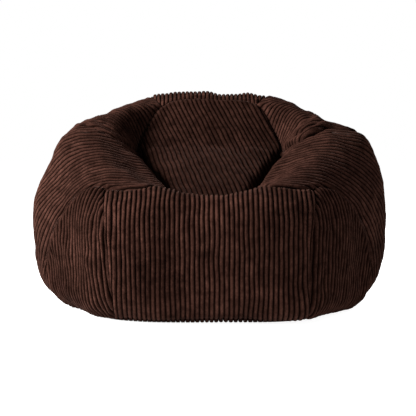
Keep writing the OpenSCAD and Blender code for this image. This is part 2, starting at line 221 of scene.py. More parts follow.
FOLDS = [
    # the roll's edge, where the front panels are sewn to the arms
    fold([(-71, 6), (-66, 4.35), (-60, 4.0), (-53, 3.75)], -0.002, 0.008),
    # the creases where the arms meet the seat
    fold([(-72, 5.95), (-50, 6), (-25, 6), (0, 6), (16, 6)], -0.020, 0.015),
    # the right arm's deep crease below the shoulder, and the pleat rolled over it
    seam_fold(3.9, 5.8, 0, -0.015, 0.0085, 1),
    seam_fold(4.6, 5.8, 4.6, 0.006, 0.011, 1),
    seam_fold(4.8, 5.6, 10.5, -0.004, 0.006, 1),
    seam_fold(4.8, 5.5, 14.5, 0.003, 0.009, 1),
    seam_fold(4.7, 5.4, 20.0, -0.003, 0.006, 1),
    # the arms lean in over the seat, the left one further
    fold([(-62, 5.5), (-22, 5.5)], 0.013, 0.028, -1),
    fold([(-62, 5.5), (-22, 5.5)], 0.006, 0.028, 1),
    # the left arm's seam is shallower
    seam_fold(3.9, 5.6, 0, -0.004, 0.009, -1),
    seam_fold(4.4, 5.4, -6.0, 0.003, 0.012, -1),
    # the right arm stands out to a corner below its shoulder, and the left arm has settled
    fold([(-5, 3.8), (3, 3.95)], 0.009, 0.030, 1),
    fold([(16, 4.4), (42, 4.3)], -0.011, 0.034, 1),
    fold([(-20, 3.3), (12, 3.5)], -0.015, 0.070, -1),
    fold([(5, 4.1), (11, 4.3)], 0.006, 0.030, -1),
    fold([(26, 4.2), (44, 4.3)], -0.011, 0.038, -1),
    seam_fold(4.5, 5.5, 9.0, -0.004, 0.007, -1),
    seam_fold(4.6, 5.3, 17.0, -0.003, 0.006, -1),
    # the front roll's edge rises beside its corners and dips between them
    fold([(-72, 4.9), (-66, 4.5)], 0.004, 0.030),
    fold([(-84, 4.9), (-84, 4.4)], -0.003, 0.030, 1),
    # shallow slanting wrinkles in the front corners
    fold([(-60, 3.2), (-64, 1.6)], -0.004, 0.011, -1),
    fold([(-52, 3.0), (-57, 1.2)], -0.003, 0.010, -1),
    fold([(-62, 3.1), (-58, 1.4)], -0.003, 0.011, 1),
    fold([(-48, 2.8), (-53, 1.0)], -0.003, 0.010, 1),
    # the foot of the bag spreads more to the right
    fold([(-64, 0.45), (-18, 0.55)], 0.014, 0.045, 1),
    fold([(-46, 0.6), (-18, 0.7)], 0.012, 0.045, -1),
    # short puckers where the shoulders meet the crest
    fold([(9, 4.1), (2, 4.4)], 0.003, 0.008, -1),
    fold([(13, 4.4), (20, 4.3)], -0.003, 0.008, -1),
    fold([(14, 4.7), (24, 4.6)], 0.004, 0.009, 1),
    # dents along the top of the backrest
    fold([(84, 4.3), (84, 4.8)], -0.004, 0.020, 1),
    fold([(70, 4.3), (68, 4.8)], 0.004, 0.018, 1),
    fold([(64, 4.5), (70, 4.5)], 0.005, 0.030, -1),
    fold([(76, 4.3), (75, 4.8)], 0.004, 0.026, -1),
    # long soft creases down the walls, where the bag stands on its foot
    fold([(-22, 0.8), (-26, 1.8)], -0.003, 0.022, 1),
    fold([(-28, 0.8), (-30, 1.6)], -0.002, 0.020, -1),
    fold([(30, 0.4), (27, 1.6)], -0.004, 0.022, 1),
    fold([(34, 0.4), (36, 1.5)], -0.004, 0.020, -1),
]


# Beside the seat seam, both panels move this way, so that their edges stay together.
SEAT_SEAM = skin(np.linspace(-180, 180, 121), TOP)
SEAT_UP = np.array([0, -0.25, 0.97])


def turned_up(normal, p, width=0.016):
    """Normals that lean over to SEAT_UP where the points p are beside the seat seam."""
    upright = np.exp(-(from_path(p, SEAT_SEAM) / width) ** 2)[..., None]
    return (1 - upright) * normal + upright * SEAT_UP


def slack(p, side):
    """How far the cloth stands out from, or sinks below, the plain skin at points p, which lie on
    the right half of the bag in their own axes; side is -1 where they are mirrored to the left."""
    real = p * (side, 1, 1)
    out = 0.0022 * waves(real, 0.17, 11) + 0.0009 * waves(real, 0.055, 12)
    for path, height, width, fold_side in FOLDS:
        for half in (1, -1):
            if fold_side not in (0, half):
                continue
            distance = from_path(real * (half, 1, 1), path)
            out = out + height * np.exp(-(distance / width) ** 2)
    return out


# ---- ribbed cord panels ----

PITCH = 0.0105
RIB_H = 0.0052
# Where the samples lie across a rib, closer together in the grooves
RIB_SAMPLES = (0.0, 0.07, 0.17, 0.33, 0.5, 0.67, 0.83, 0.93)
STEP = 0.0075
SHORTEST_RIB = 0.003
SEAM_DEPTH = 0.0038
CLOTH = 0.0028


def rib_height(f):
    """Height over the groove at share f of the way across a rib."""
    return (1 - np.abs(2 * f - 1) ** 2.4) ** 0.62


def table_normals(p):
    n = np.cross(np.gradient(p, axis=1), np.gradient(p, axis=0))
    return n / np.maximum(np.linalg.norm(n, axis=-1), 1e-12)[..., None]


def lengths(path):
    """The length of a path of points up to each of them."""
    return np.concatenate([[0], np.cumsum(np.linalg.norm(np.diff(path, axis=0), axis=1))])


def longest_run(mask):
    edges = np.flatnonzero(np.diff(np.concatenate([[0], mask.astype(int), [0]])))
    starts, ends = edges[::2], edges[1::2]
    if len(starts) == 0:
        return None
    best = np.argmax(ends - starts)
    return starts[best], ends[best] - 1


def rib_lines(p, family, within, pitch, step):
    """Lines of the cloth along its ribs. p is a table of points; family, which changes one way
    along each row, is the same all along a rib; within is above 0 inside the panel. A rib that the
    panel's border parts in two keeps its longer run. Returns the lines' points, the share across
    the rib of each line and the lines' normals."""
    if family[0, -1] < family[0, 0]:
        p, family, within = p[:, ::-1], family[:, ::-1], within[:, ::-1]
    normal = table_normals(p)
    if np.sum(normal[..., 2]) < 0:
        normal = -normal
    inside = family[within > 0]
    first = math.floor(inside.min() / pitch)
    last = math.ceil(inside.max() / pitch)
    lines, shares, length = [], [], 0
    column = np.arange(family.shape[1])
    for level in [(k, f) for k in range(first, last) for f in RIB_SAMPLES]:
        value = (level[0] + level[1]) * pitch
        place = np.array([
            np.interp(value, row, column, left=np.nan, right=np.nan) for row in family
        ])
        known = ~np.isnan(place)
        place = np.where(known, place, 0)
        low = np.minimum(place.astype(int), family.shape[1] - 2)
        f = (place - low)[:, None]
        row = np.arange(len(place))
        stacked = np.concatenate([p, normal, within[..., None]], -1)
        line = stacked[row, low] * (1 - f) + stacked[row, low + 1] * f
        run = longest_run(known & (line[:, 6] > 0))
        if run is None:
            continue
        line = trimmed(line, known, *run)
        along = lengths(line[:, :3])
        if along[-1] < SHORTEST_RIB:
            continue
        lines.append((along, line[:, :6]))
        shares.append(level[1])
        length = max(length, along[-1])
    count = max(8, round(length / step))
    grid = np.array([
        [np.interp(np.linspace(0, along[-1], count), along, line[:, c]) for c in range(6)]
        for along, line in lines
    ]).transpose(0, 2, 1)
    return grid[..., :3], np.array(shares), grid[..., 3:]


def trimmed(line, known, start, end):
    """The run of a line from start to end, with its two ends moved to where within is 0."""
    part = line[start:end + 1]
    for at_end, i, j in ((False, start, start - 1), (True, end, end + 1)):
        if 0 <= j < len(line) and known[j]:
            f = line[i, 6] / (line[i, 6] - line[j, 6])
            tip = (line[i] * (1 - f) + line[j] * f)[None]
            part = np.concatenate([part, tip] if at_end else [tip, part])
    return part


def dense(path, gap=0.0015):
    """The same path, with points no more than a gap apart."""
    along = lengths(path)
    even = np.linspace(0, along[-1], max(2, math.ceil(along[-1] / gap)))
    return np.stack([np.interp(even, along, path[:, c]) for c in range(3)], -1)


def seam_distance(p):
    """Distance of a panel's points from its own border."""
    border = np.concatenate([dense(side) for side in (p[0], p[-1], p[:, 0], p[:, -1])])
    tree = KDTree(len(border))
    for i, b in enumerate(border):
        tree.insert(b, i)
    tree.balance()
    return np.array([tree.find(q)[2] for q in p.reshape(-1, 3)]).reshape(p.shape[:2])


def mesh_object(name, points, faces, material):
    mesh = bpy.data.meshes.new(name)
    mesh.from_pydata([], [], [])
    mesh.vertices.add(len(points))
    mesh.vertices.foreach_set("co", np.asarray(points, np.float32).ravel())
    faces = np.asarray(faces, np.int32)
    mesh.loops.add(faces.size)
    mesh.loops.foreach_set("vertex_index", faces.ravel())
    mesh.polygons.add(len(faces))
    starts = np.arange(0, faces.size, faces.shape[1], dtype=np.int32)
    mesh.polygons.foreach_set("loop_start", starts)
    mesh.update(calc_edges=True)
    mesh.validate()
    mesh.polygons.foreach_set("use_smooth", np.ones(len(mesh.polygons), bool))
    mesh.materials.append(material)
    piece = bpy.data.objects.new(name, mesh)
    bpy.context.scene.collection.objects.link(piece)
    return piece


def grid_faces(rows, cols, turned):
    i, j = np.meshgrid(np.arange(rows - 1), np.arange(cols - 1), indexing="ij")
    a = (i * cols + j).ravel()
    quads = np.stack([a, a + cols, a + cols + 1, a + 1], -1)
    return quads[:, ::-1] if turned else quads


def thicken(piece, thickness, offset):
    cloth = piece.modifiers.new("cloth", "SOLIDIFY")
    cloth.thickness = thickness
    cloth.offset = offset


def cord_panel(
    name, table, family, within, material, side=1, pitch=PITCH, rib=RIB_H, seam=SEAM_DEPTH,
    step=STEP, flat=False,
):
    """One sewn panel of ribbed cord, made as a grid of lines along its ribs. The table is of the
    right half of the bag, and side -1 mirrors it to the left. rib is the ribs' height, and seam the
    depth that the sewn edges are drawn in. A flat panel lies on the floor, facing down, and has no
    folds of its own."""
    wander = family + 0.0007 * waves(table * (side, 1, 1), 0.09, 21)
    p, share, normal = rib_lines(table, wander, within, pitch, step)
    if flat:
        normal = -normal
    normal = unit(turned_up(normal, p))
    real = p * (side, 1, 1)
    distance = seam_distance(p)
    pucker = 1 + 0.35 * waves(real, 0.022, 22)
    out = 0 * distance if flat else slack(p, side)
    out = out - seam * pucker * np.exp(-(distance / 0.0045) ** 2)
    out = out + 0.0016 * np.exp(-((distance - 0.011) / 0.006) ** 2)
    sewn = min(1, 0.2 + seam / SEAM_DEPTH)
    fade = 1 - 0.85 * sewn * (1 - np.clip(distance / 0.006, 0, 1) ** 0.7)
    plump = 1 + 0.10 * waves(real, 0.020, 23) + 0.08 * waves(real, 0.008, 24)
    height = rib_height(share)[:, None] * np.ones_like(distance)
    out = out + rib * fade * plump * (height - 0.6)
    p = (p + normal * out[..., None]) * (side, 1, 1)
    p[..., 2] = np.maximum(p[..., 2], 0.0004)
    rows, cols = p.shape[:2]
    faces = grid_faces(rows, cols, False)
    first = p.reshape(-1, 3)[faces[len(faces) // 2]]
    facing = np.cross(first[1] - first[0], first[2] - first[0])
    outward = (normal * (side, 1, 1)).reshape(-1, 3)[faces[len(faces) // 2][0]]
    if facing @ outward < 0:
        faces = faces[:, ::-1]
    piece = mesh_object(name, p.reshape(-1, 3), faces, material)
    # the place across each rib, 0 on its top and 1 in the groove, for the cords' painted groove
    # shade
    groove = piece.data.attributes.new("groove", "FLOAT", "POINT")
    across = np.abs(2 * share - 1)[:, None] * np.ones_like(distance)
    groove.data.foreach_set("value", across.astype(np.float32).ravel())
    thicken(piece, CLOTH, -1)
    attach(piece, "bag")
    return piece


def skin_table(a0, a1, t0, t1):
    """A table of skin points: a row for each place on the profile, a column for each azimuth."""
    t = np.linspace(t0, t1, round((t1 - t0) / 0.015) + 1)
    a = np.linspace(a0, a1, round((a1 - a0) / 0.3) + 1)
    a, t = np.meshgrid(a, t)
    return a, t, skin(a, t)


# ---- materials ----

def new_material(name):
    material = bpy.data.materials.new(name)
    material.use_nodes = True
    nodes = material.node_tree.nodes
    return material, nodes, material.node_tree.links, nodes["Principled BSDF"]


def put(node, values):
    for name, value in values.items():
        node.inputs[name].default_value = value


def scaled(colour, share):
    return tuple(share * c for c in colour)


def noise_node(nodes, links, coords, scale, detail=3.0, rough=0.55):
    node = nodes.new("ShaderNodeTexNoise")
    put(node, {"Scale": scale, "Detail": detail, "Roughness": rough})
    links.new(coords, node.inputs["Vector"])
    return node.outputs["Fac"]


def ramp_node(nodes, links, value, stops):
    node = nodes.new("ShaderNodeValToRGB")
    while len(node.color_ramp.elements) < len(stops):
        node.color_ramp.elements.new(0.5)
    for element, (place, colour) in zip(node.color_ramp.elements, stops):
        element.position = place
        element.color = (*colour, 1)
    links.new(value, node.inputs["Fac"])
    return node.outputs["Color"]


def mix_node(nodes, links, kind, factor, a, b):
    node = nodes.new("ShaderNodeMix")
    node.data_type = "RGBA"
    node.blend_type = kind
    inputs = (node.inputs["Factor"], factor), (node.inputs[6], a), (node.inputs[7], b)
    for socket, value in inputs:
        if isinstance(value, bpy.types.NodeSocket):
            links.new(value, socket)
        else:
            socket.default_value = value
    return node.outputs[2]


def bump_node(nodes, links, height, strength, distance, normal=None):
    node = nodes.new("ShaderNodeBump")
    put(node, {"Strength": strength, "Distance": distance})
    links.new(height, node.inputs["Height"])
    if normal is not None:
        links.new(normal, node.inputs["Normal"])
    return node.outputs["Normal"]


def cord_material(name, pile, groove, edge=0.45):
    """Brown velvet cord: a short pile with a faint sheen, brushed lighter and darker in patches,
    and darkened down in the grooves with painted shade of the colour groove. edge is where that
    painted shade begins, from 0 at the top of a rib to 1 at the bottom of the groove."""
    material, nodes, links, shader = new_material(name)
    coords = nodes.new("ShaderNodeTexCoord").outputs["Object"]
    patches = noise_node(nodes, links, coords, 9.0, 4.0)
    strokes = noise_node(nodes, links, coords, 48.0, 5.0, 0.65)
    tufts = noise_node(nodes, links, coords, 260.0, 3.0)
    hairs = noise_node(nodes, links, coords, 1400.0, 2.0)
    tones = [(0.32, scaled(pile, 0.62)), (0.52, pile), (0.72, scaled(pile, 1.38))]
    brushed = ramp_node(nodes, links, patches, tones)
    stroked = ramp_node(nodes, links, strokes, [(0.36, (0.60,) * 3), (0.64, (1.45,) * 3)])
    speckle = ramp_node(nodes, links, tufts, [(0.3, (0.62,) * 3), (0.7, (1.3,) * 3)])
    colour = mix_node(nodes, links, "MULTIPLY", 1.0, brushed, stroked)
    colour = mix_node(nodes, links, "MULTIPLY", 0.85, colour, speckle)
    # painted shade: the colour is drawn towards the dark groove colour down in each groove
    depth = nodes.new("ShaderNodeAttribute")
    depth.attribute_name = "groove"
    groove_shade_mask = nodes.new("ShaderNodeMapRange")
    put(groove_shade_mask, {"From Min": edge, "From Max": 0.90})
    links.new(depth.outputs["Fac"], groove_shade_mask.inputs["Value"])
    colour = mix_node(nodes, links, "MIX", groove_shade_mask.outputs["Result"], colour, (*groove, 1))
    links.new(colour, shader.inputs["Base Color"])
    put(shader, {
        "Roughness": 0.95, "Specular IOR Level": 0.0, "Sheen Weight": 0.05, "Sheen Roughness": 0.35,
        "Sheen Tint": (0.62, 0.40, 0.34, 1),
    })
    normal = bump_node(nodes, links, tufts, 0.55, 0.0011)
    links.new(bump_node(nodes, links, hairs, 0.35, 0.0004, normal), shader.inputs["Normal"])
    return material


# PILE is the cord's own colour; GROOVE_SHADE is the colour of the painted shade down in the
# grooves.
PILE = (0.0250, 0.0105, 0.0076)
GROOVE_SHADE = (0.0020, 0.0007, 0.0004)
# the front's lighter copy is a painted highlight, and its painted groove shade reaches higher
CORD_FRONT_HIGHLIT = cord_material("cord_front", scaled(PILE, 1.3), GROOVE_SHADE, edge=0.28)
# the corners' painted groove shade reaches higher still
CORD_CORNER_DEEP_SHADE = cord_material("cord_corner_deep_shade", PILE, GROOVE_SHADE, edge=0.1)
CORD_ARM = cord_material("cord_arm", PILE, GROOVE_SHADE)
CORD_BACK = cord_material("cord_back", PILE, GROOVE_SHADE)
# the seat's and the base's darker copies are painted shade
CORD_SEAT_PAINTED_SHADE = cord_material("cord_seat", scaled(PILE, 0.6), scaled(GROOVE_SHADE, 2))
CORD_BASE_PAINTED_SHADE = cord_material("cord_base", scaled(PILE, 0.7), GROOVE_SHADE)

# ---- the cover ----

# About how far apart places on the walls are, for one step of profile and one degree of azimuth.
PER_T = 0.09
PER_DEGREE = 0.006
BACK_PER_T = 0.12
DISC_R = 0.12
FRONT_SEAM_DEPTH = 0.0012
SIDES = ((1, "right"), (-1, "left"))
ARM_TILT = math.radians(38)
ARM_PITCH = 0.0135
CORNER_T = 2.0  # where the corner panels' upright ribs are a whole pitch apart
CORNER_PITCH = 0.0145
CORNER_RIB_H = 0.0064
SHOULDER_DIRECTION = math.radians(8)
SEAT_SLANT = 0.52
SEAT_PITCH = 0.0117
SEAT_RIB_H = 0.0036
OVERLAP = 0.002

A, T, P = skin_table(-128, -52, 0, TOP)
front = cord_panel(
    "front_cord", P, P[..., 0],
    np.minimum.reduce([
        front_half(T) - np.abs(P[..., 0]),
        PER_T * (arm_seam(np.where(A < -90, -180 - A, A)) - T + 1e-6),
        PER_T * (T - BASE_T),
    ]),
    CORD_FRONT_HIGHLIT, seam=FRONT_SEAM_DEPTH,
)
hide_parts("front_panel")


def along_wall(a):
    """Length around the wall from the front to azimuth a."""
    turn = np.linspace(-90, 0, 361)
    return np.interp(a, turn, lengths(skin(turn, CORNER_T)))


def arm_family(p):
    """The arm's ribs are its lines of equal height over a plane tilted along the bag."""
    return p[..., 1] * math.cos(ARM_TILT) + p[..., 2] * math.sin(ARM_TILT)


def arm_cord(name, table, within, side):
    return cord_panel(name, table, arm_family(table), within, CORD_ARM, side, ARM_PITCH)


for side, word in SIDES:
    A, T, P = skin_table(-64, 0, 0, 4.3)
    corner = cord_panel(
        f"front_{word}_cord", P, along_wall(A),
        np.minimum.reduce([
            P[..., 0] - front_half(T), PER_T * (arm_seam(A) - T), PER_T * (T - BASE_T),
        ]),
        CORD_CORNER_DEEP_SHADE, side, CORNER_PITCH, CORNER_RIB_H, FRONT_SEAM_DEPTH,
    )
    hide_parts(f"front_{word}_panel")

    A, T, P = skin_table(-80, 30, 0, TOP)
    # near the foot, where the ribs run along the seam, the arm's edge is sewn under the corner's
    under_corner = 0.06 * np.exp(-T ** 2)
    in_arm = np.minimum.reduce([
        PER_T * (T - arm_seam(A) + under_corner), PER_DEGREE * (shoulder_seam(T) - A),
        PER_T * (T - BASE_T),
    ])
    arm = arm_cord(f"{word}_arm_cord", P, in_arm, side)
    # the arm's tip between shoulder and seat, whose ribs the shoulder seam parts from the rest
    inner = np.linspace(CREST_T, 5.95, 146)
    level = arm_family(skin(shoulder_seam(inner), inner))
    low = np.argmin(level)
    in_tip = np.minimum(arm_family(P) - level[low] + OVERLAP, PER_T * (T - inner[low]))
    tip = arm_cord(f"{word}_arm_tip_cord", P, np.minimum(in_arm, in_tip), side)
    # and its foot, whose ribs the seam to the corner parts from the rest in the same way
    lower = np.linspace(0.1, 2.1, 201)
    level = arm_family(skin(np.interp(lower, ARM_SEAM[::-1, 1], ARM_SEAM[::-1, 0]), lower))
    high = np.argmax(level)
    in_foot = np.minimum(level[high] + OVERLAP - arm_family(P), PER_T * (lower[high] - T))
    foot = arm_cord(f"{word}_arm_foot_cord", P, np.minimum(in_arm, in_foot), side)
    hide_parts(f"{word}_arm_panel")

    A, T, P = skin_table(-12, 68, 0, TOP)
    shoulder = cord_panel(
        f"{word}_shoulder_cord", P,
        P[..., 1] * math.cos(SHOULDER_DIRECTION) - P[..., 0] * math.sin(SHOULDER_DIRECTION),
        np.minimum.reduce([
            PER_DEGREE * (A - shoulder_seam(T)), PER_DEGREE * (BACK_SEAM - A),
            PER_T * (T - BASE_T),
        ]),
        CORD_ARM, side,
    )
    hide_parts(f"{word}_shoulder_panel")


def back_of_slot(p):
    """Half the height of the zip's slot, as a length of profile, beside points p."""
    end = np.clip((SLOT_HALF_L - np.abs(p[..., 0])) / 0.004, 0, 1)
    return SLOT_HALF_T * end


A, T, P = skin_table(BACK_SEAM - 4, 184 - BACK_SEAM, 0, TOP)
BETWEEN_SEAMS = PER_DEGREE * (90 - BACK_SEAM - np.abs(A - 90))
back = cord_panel(
    "back_cord", P, P[..., 0],
    np.minimum(BETWEEN_SEAMS, BACK_PER_T * (T - ZIP_T - back_of_slot(P))), CORD_BACK,
)
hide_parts("back_panel")
skirt = cord_panel(
    "back_skirt_cord", P, P[..., 0],
    np.minimum.reduce([
        BETWEEN_SEAMS, BACK_PER_T * (ZIP_T - back_of_slot(P) - T), PER_T * (T - BASE_T),
    ]),
    CORD_BACK,
)
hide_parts("back_skirt")

X, Y = np.meshgrid(np.linspace(-0.2, 0.2, 321), np.linspace(-0.25, 0.22, 377))
P, SHARE = seat_point(X, Y)
seat = cord_panel(
    "seat_cord", P, X + SEAT_SLANT * P[..., 2], DISC_R * (1 - SHARE),
    CORD_SEAT_PAINTED_SHADE, pitch=SEAT_PITCH, rib=SEAT_RIB_H,
)
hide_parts("seat_panel")

BASE_LIES = 0.0022
BASE_SEAM_DEPTH = 0.0010
BASE_STEP = 0.016


def base_table():
    """The base disc: flat on the floor, and turned up around its edge to meet the walls there."""
    x, y = np.meshgrid(np.linspace(-0.38, 0.38, 457), np.linspace(-0.36, 0.36, 433))
    turn = np.linspace(-180, 180, 721)
    edge = skin(turn, BASE_T)
    up = unit(skin(turn, BASE_T + 0.04) - skin(turn, BASE_T))
    round_the_foot = np.stack([-np.sin(np.radians(turn)), np.cos(np.radians(turn)), 0 * turn], -1)
    outward = np.cross(round_the_foot, up)
    right = edge * (np.where(edge[:, 0] < 0, -1, 1)[:, None] * (1, 0, 0) + (0, 1, 1))
    out = np.where(edge[:, 0] < 0, slack(right, -1), slack(right, 1))
    a = np.degrees(np.arctan2(y, x))

    def at(values):
        return np.stack([np.interp(a, turn, values[:, c]) for c in range(3)], -1)

    rim = at(edge)
    share = np.hypot(x, y) / np.hypot(rim[..., 0], rim[..., 1])
    z = BASE_LIES + (rim[..., 2] - BASE_LIES) * np.clip((share - 0.96) / 0.04, 0, 1) ** 2
    moved = at(outward * out[:, None]) * np.clip((share - 0.6) / 0.4, 0, 1)[..., None] ** 2
    return np.stack([x, y, z], -1) + moved, x, DISC_R * (1 - share)


base = cord_panel(
    "base_cord", *base_table(), CORD_BASE_PAINTED_SHADE, seam=BASE_SEAM_DEPTH, step=BASE_STEP, flat=True,
)
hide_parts("base_panel")

# ---- inside: the liner and the beads, which follow the cover's folds ----

LINER_DEPTH = 0.016
LINER_THICK = 0.0009
BEAD_DEPTH = 0.023
LINER_SPLIT = 2.2
SEAT_SHARES = (0.93, 0.7, 0.4, 0.02)


def sunk(out, depth):
    """The place of an inner layer under cloth that stands out by the given amount: it keeps its
    depth, and well clear of the creases."""
    return out - depth - 0.6 * np.maximum(0, -out)


def both_halves(p, normal, depth):
    """Points at a depth under points p of the right half, and under the left half's."""
    for side in (1, -1):
        yield (p + normal * sunk(slack(p, side), depth)[..., None]) * (side, 1, 1)


def inner_rings(depth, t0, t1):
    """Closed rings of points under the cover, from t0 up to t1."""
    rows = max(2, round((t1 - t0) / 0.08))
    a, t = np.meshgrid(np.linspace(-90, 90, 91), np.linspace(t0, t1, rows))
    p = skin(a, t)
    normal = table_normals(p)
    normal = normal if np.sum(normal[..., 0]) > 0 else -normal
    right, left = both_halves(p, turned_up(normal, p, 0.02), depth)
    return np.concatenate([right, left[:, -2:0:-1]], axis=1)


def foot_ring(depth):
    """A ring drawn in to the middle of the foot, which closes the rings above it."""
    return inner_rings(depth, 0, 0.02)[:1] * (0.02, 0.02, 1)


def seat_rings(depth, shares):
    """Rings of points under the seat panel, from its seam towards its middle."""
    a = np.concatenate([np.linspace(-90, 90, 91), np.linspace(90, -90, 91)[1:-1]])
    side = np.concatenate([np.ones(91), -np.ones(89)])
    seam = skin(np.linspace(-90, 90, 91), TOP)
    seam = np.concatenate([seam, seam[-2:0:-1]])
    rings = []
    for share in shares:
        p, _ = seat_point(seam[:, 0] * share, seam[:, 1] * share)
        out = np.where(side > 0, slack(p, 1), slack(p, -1))
        mirror = np.stack([side, a * 0 + 1, a * 0 + 1], -1)
        rings.append((p + SEAT_UP * sunk(out, depth)[:, None]) * mirror)
    return np.array(rings)


def ring_shell(name, rings, material, node, thickness):
    """A closed form, or a shell of cloth, drawn through rings from the bottom up."""
    rings = np.concatenate(rings)
    count = rings.shape[1]
    points = np.concatenate([rings.reshape(-1, 3), [rings[0].mean(0), rings[-1].mean(0)]])
    i, j = np.meshgrid(np.arange(len(rings) - 1), np.arange(count), indexing="ij")
    a, b = (i * count + j).ravel(), (i * count + (j + 1) % count).ravel()
    quads = np.stack([a, b, b + count, a + count], -1)
    piece = mesh_object(name, points, quads, material)
    if thickness:
        thicken(piece, thickness, -1)
    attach(piece, "bag")
    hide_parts(node)


def cloth_material(name, colour, scale, rough=0.8):
    """Plain woven cloth: a fine weave of two crossing waves, with slubs and faint soiling."""
    material, nodes, links, shader = new_material(name)
    coords = nodes.new("ShaderNodeTexCoord").outputs["Object"]
    cloud = noise_node(nodes, links, coords, 14.0, 4.0)
    tone = ramp_node(nodes, links, cloud, [(0.3, scaled(colour, 0.82)), (0.7, colour)])
    height = None
    for direction in ("X", "Z"):
        wave = nodes.new("ShaderNodeTexWave")
        wave.bands_direction = direction
        put(wave, {"Scale": scale, "Distortion": 0.6})
        links.new(coords, wave.inputs["Vector"])
        if height is None:
            height = wave.outputs["Fac"]
        else:
            height = mix_node(nodes, links, "MULTIPLY", 1.0, height, wave.outputs["Fac"])
    woven = mix_node(nodes, links, "MULTIPLY", 0.35, tone, height)
    links.new(woven, shader.inputs["Base Color"])
    put(shader, {"Roughness": rough, "Specular IOR Level": 0.0 if max(colour) < 0.1 else 0.15})
    links.new(bump_node(nodes, links, height, 0.5, 0.0004), shader.inputs["Normal"])
    return material


def bead_material():
    """Packed white beads of about 3 mm, greyed towards their edges: painted shade in the gaps
    between them.
    """
    material, nodes, links, shader = new_material("beads")
    coords = nodes.new("ShaderNodeTexCoord").outputs["Object"]
    cells = nodes.new("ShaderNodeTexVoronoi")
    cells.inputs["Scale"].default_value = 300
    links.new(coords, cells.inputs["Vector"])
    depth = cells.outputs["Distance"]
    # painted shade: grey towards the edge of each bead, in the gaps between beads
    tones = [(0.2, (0.86, 0.86, 0.84)), (0.8, (0.45, 0.45, 0.44))]
    links.new(ramp_node(nodes, links, depth, tones), shader.inputs["Base Color"])
    shader.inputs["Roughness"].default_value = 0.55
    links.new(bump_node(nodes, links, depth, -0.8, 0.0015), shader.inputs["Normal"])
    return material


LINER = cloth_material("liner_cloth", (0.72, 0.70, 0.65), 420)
lower_rings = [foot_ring(LINER_DEPTH), inner_rings(LINER_DEPTH, 0, LINER_SPLIT)]
upper_rings = [
    inner_rings(LINER_DEPTH, LINER_SPLIT + 0.01, TOP), seat_rings(LINER_DEPTH, SEAT_SHARES),
]
bead_rings = [
    foot_ring(BEAD_DEPTH), inner_rings(BEAD_DEPTH, 0, TOP), seat_rings(BEAD_DEPTH, SEAT_SHARES),
]
ring_shell("liner_lower_cloth", lower_rings, LINER, "liner_lower", LINER_THICK)
ring_shell("liner_upper_cloth", upper_rings, LINER, "liner_upper", LINER_THICK)
ring_shell("bead_mass", bead_rings, bead_material(), "bead_filling", 0)

# ---- the seams, from inside: strips of cloth sewn in behind every seam ----

SEAM_WIDE = 0.018
SEAM_THICK = 0.0016
SEAM_UNDER = 0.0048


def outward_from(a, t):
    """Outward directions of the skin at azimuths a and profile places t."""
    up = skin(a, np.asarray(t) + 0.01) - skin(a, np.asarray(t) - 0.01)
    around_bag = skin(np.asarray(a) + 0.2, t) - skin(np.asarray(a) - 0.2, t)
    return unit(np.cross(around_bag, up))


def seam_strip(name, a, t, side=1):
    """A strip of cloth under the seam along places (a, t) of the right half of the bag, which side
    -1 mirrors to the left."""
    p = skin(a, t)
    normal = outward_from(a, np.minimum(t, TOP - 0.01))
    normal = unit(turned_up(normal, p))
    across = unit(np.cross(np.gradient(p, axis=0), normal))
    place = np.linspace(-0.5, 0.5, 9)[None, :, None] * SEAM_WIDE
    q = p[:, None] + across[:, None] * place
    under = SEAM_UNDER + 0.12 * np.abs(place[..., 0])
    q = (q + normal[:, None] * (slack(q, side) - under)[..., None]) * (side, 1, 1)
    q[..., 2] = np.maximum(q[..., 2], 0.004)
    strip = mesh_object(name, q.reshape(-1, 3), grid_faces(*q.shape[:2], False), SEAM_CLOTH)
    thicken(strip, SEAM_THICK, 0)
    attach(strip, "bag")


SEAM_CLOTH = cloth_material("seam_cloth", (0.016, 0.0068, 0.0048), 700)
rise = np.linspace(BASE_T, TOP, 181)
wall_turn = np.linspace(-88, -30, 233)
seam_t = np.linspace(BASE_T, RIDGE_T, 121)
corner_a = np.array([np.interp(front_half(t), skin(wall_turn, t)[:, 0], wall_turn) for t in seam_t])
arm_a = np.interp(np.linspace(1, 10, 271), np.arange(len(ARM_SEAM)), ARM_SEAM[:, 0])
half_turn = np.linspace(-90, 90, 241)
for side, word in SIDES:
    seam_strip(f"{word}_corner_seam", corner_a, seam_t, side)
    seam_strip(f"{word}_arm_seam", arm_a, np.maximum(arm_seam(arm_a), BASE_T), side)
    seam_strip(f"{word}_shoulder_seam", shoulder_seam(rise), rise, side)
    seam_strip(f"{word}_back_seam", BACK_SEAM + 0 * rise, rise, side)
    seam_strip(f"{word}_seat_seam", half_turn, TOP + 0 * half_turn, side)
    seam_strip(f"{word}_base_seam", half_turn, BASE_T + 0 * half_turn, side)

# ---- small parts of cloth, nylon and metal ----

def metal_material():
    """Nickel-plated zinc: a satin face, rubbed bright in patches and finely scratched."""
    material, nodes, links, shader = new_material("zip_metal")
    coords = nodes.new("ShaderNodeTexCoord").outputs["Object"]
    wear = noise_node(nodes, links, coords, 220.0, 4.0)
    scratches = noise_node(nodes, links, coords, 2600.0, 2.0)
    tone = ramp_node(nodes, links, wear, [(0.35, (0.30, 0.28, 0.26)), (0.7, (0.55, 0.53, 0.50))])
    links.new(tone, shader.inputs["Base Color"])
    rough = nodes.new("ShaderNodeMapRange")
    put(rough, {"To Min": 0.22, "To Max": 0.48})
    links.new(wear, rough.inputs["Value"])
    links.new(rough.outputs["Result"], shader.inputs["Roughness"])
    shader.inputs["Metallic"].default_value = 1.0
    links.new(bump_node(nodes, links, scratches, 0.15, 0.0001), shader.inputs["Normal"])
    return material


